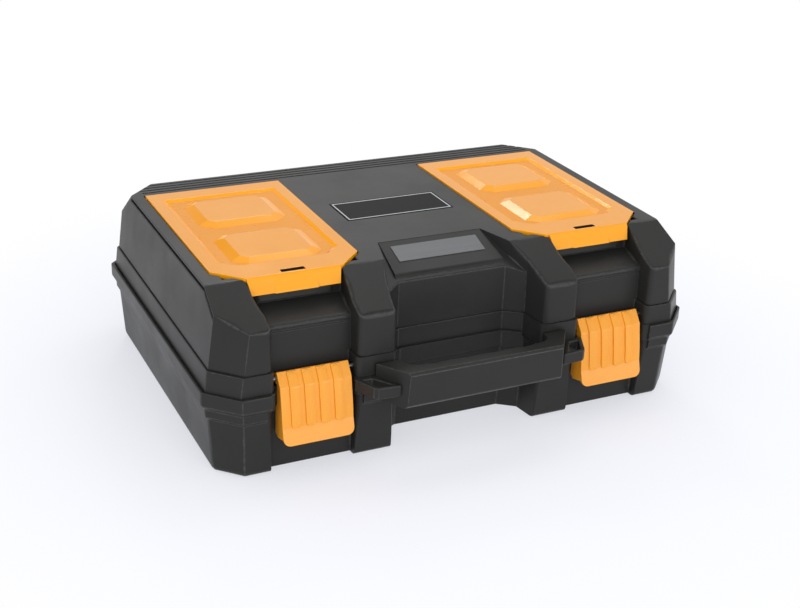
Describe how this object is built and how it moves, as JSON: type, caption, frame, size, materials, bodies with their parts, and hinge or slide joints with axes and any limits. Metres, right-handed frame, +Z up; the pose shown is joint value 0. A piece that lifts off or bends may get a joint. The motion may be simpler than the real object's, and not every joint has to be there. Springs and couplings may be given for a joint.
{
  "type": "hard tool case",
  "caption": "Hard plastic tool case with a hinged lid, organizer trays under hinged covers, draw latches, a carry handle and strap eyes.",
  "frame": {"origin": "middle of the base's rim in plan, on the face that the case rests on", "axes": "+X to the right seen from the front, -Y towards the handle and latches, +Z up"},
  "size_m": [0.38, 0.3047, 0.129],
  "materials": {
    "black_shell": "fine-textured moulded polypropylene",
    "black_tray": "fine-textured moulded polypropylene",
    "orange_latch": "satin moulded polypropylene",
    "orange_cover": "frosted translucent polypropylene",
    "divider": "smooth moulded polypropylene",
    "plate": "smooth black plate",
    "label": "matt grey film",
    "steel": "zinc-plated steel"
  },
  "bodies": {
    "base": {"base_shell": "black_shell", "carry_handle": "black_shell", "handle_screws": "steel", "hinge_pin_left": "steel", "hinge_pin_right": "steel"},
    "lid": {"lid_shell": "black_shell", "latch_pin_left": "steel", "latch_pin_right": "steel", "organizer_tray_left": "black_tray", "organizer_tray_right": "black_tray", "tray_dividers_left": "divider", "tray_dividers_right": "divider", "name_plate": "plate", "console_label": "label"},
    "latch_left": {"latch_left": "orange_latch"},
    "latch_right": {"latch_right": "orange_latch"},
    "cover_left": {"organizer_cover_left": "orange_cover"},
    "cover_right": {"organizer_cover_right": "orange_cover"}
  },
  "joints": [
    {"name": "lid_hinge", "type": "hinge", "parent": "base", "child": "lid", "pos_m": [0, 0.141, 0.0662], "axis": [-1, 0, 0], "range_deg": [0, 110]},
    {"name": "latch_left_pivot", "type": "hinge", "parent": "lid", "child": "latch_left", "pos_m": [-0.1158, -0.1252, 0.0685], "axis": [-1, 0, 0], "range_deg": [0, 110]},
    {"name": "latch_right_pivot", "type": "hinge", "parent": "lid", "child": "latch_right", "pos_m": [0.1158, -0.1252, 0.0685], "axis": [-1, 0, 0], "range_deg": [0, 110]},
    {"name": "cover_left_hinge", "type": "hinge", "parent": "lid", "child": "cover_left", "pos_m": [-0.115, 0.0808, 0.1246], "axis": [-1, 0, 0], "range_deg": [0, 105]},
    {"name": "cover_right_hinge", "type": "hinge", "parent": "lid", "child": "cover_right", "pos_m": [0.115, 0.0808, 0.1246], "axis": [-1, 0, 0], "range_deg": [0, 105]}
  ]
}
